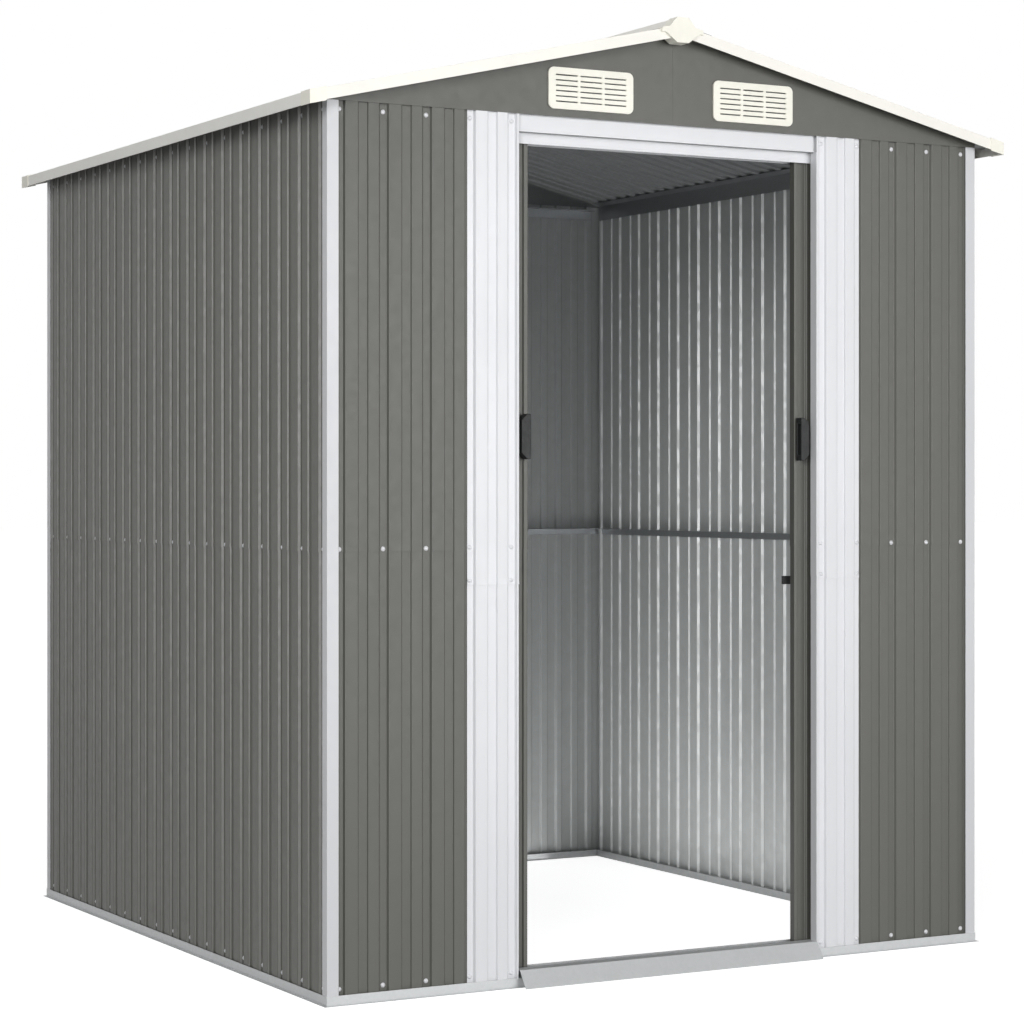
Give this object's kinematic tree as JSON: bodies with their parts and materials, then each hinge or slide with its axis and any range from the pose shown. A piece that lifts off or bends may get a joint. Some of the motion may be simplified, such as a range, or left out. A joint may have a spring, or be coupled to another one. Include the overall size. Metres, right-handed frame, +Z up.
{
  "type": "metal garden shed",
  "caption": "Ribbed sheet-metal storage shed with a low gable roof, white corner posts and door jambs, gable vents and sliding doors shown open.",
  "frame": {"origin": "on the ground, at the middle of the roof's outline", "axes": "+Z up, -Y out of the doorway, +X to the right as seen from the front"},
  "size_m": [1.92, 1.89, 2.2366],
  "materials": {
    "grey_paint": "satin grey coating on thin steel sheet",
    "white_paint": "satin white coating on steel",
    "cream_paint": "satin cream coating on steel trim",
    "galvanised_steel": "plain galvanised",
    "cream_plastic": "moulded, satin",
    "black_plastic": "moulded, satin"
  },
  "bodies": {
    "shed": {"front_base_rail": "galvanised_steel", "right_base_rail": "galvanised_steel", "back_base_rail": "galvanised_steel", "left_base_rail": "galvanised_steel", "floor_track": "galvanised_steel", "door_ramp": "galvanised_steel", "head_track": "white_paint", "front_left_post": "white_paint", "front_right_post": "white_paint", "back_right_post": "white_paint", "back_left_post": "white_paint", "left_wall_lower": "grey_paint", "left_wall_upper": "grey_paint", "right_wall_lower": "grey_paint", "right_wall_upper": "grey_paint", "back_wall_lower": "grey_paint", "back_wall_upper": "grey_paint", "front_left_panel_lower": "grey_paint", "front_left_panel_upper": "grey_paint", "front_right_panel_lower": "grey_paint", "front_right_panel_upper": "grey_paint", "left_jamb_lower": "white_paint", "left_jamb_upper": "white_paint", "right_jamb_lower": "white_paint", "right_jamb_upper": "white_paint", "front_gable_left": "grey_paint", "front_gable_right": "grey_paint", "back_gable_left": "grey_paint", "back_gable_right": "grey_paint", "front_vents": "cream_plastic", "back_vents": "cream_plastic", "left_roof": "grey_paint", "right_roof": "grey_paint", "ridge_cap": "grey_paint", "ridge_end_caps": "cream_plastic", "front_left_verge": "cream_paint", "front_right_verge": "cream_paint", "back_right_verge": "cream_paint", "back_left_verge": "cream_paint", "left_eave_trims": "white_paint", "right_eave_trims": "white_paint", "corner_caps": "cream_plastic", "left_mid_rail": "galvanised_steel", "right_mid_rail": "galvanised_steel", "back_mid_rail": "galvanised_steel", "left_top_rail": "galvanised_steel", "right_top_rail": "galvanised_steel", "back_top_rail": "galvanised_steel", "ridge_beam": "galvanised_steel"},
    "left_door": {"left_door": "grey_paint", "left_door_glides": "black_plastic", "left_handle": "black_plastic"},
    "right_door": {"right_door": "grey_paint", "right_door_glides": "black_plastic", "right_handle": "black_plastic", "door_latch": "black_plastic"}
  },
  "joints": [
    {"name": "left_door_slide", "type": "slide", "parent": "shed", "child": "left_door", "axis": [1, 0, 0], "range_m": [0, 0.37]},
    {"name": "right_door_slide", "type": "slide", "parent": "shed", "child": "right_door", "axis": [-1, 0, 0], "range_m": [0, 0.37]}
  ]
}
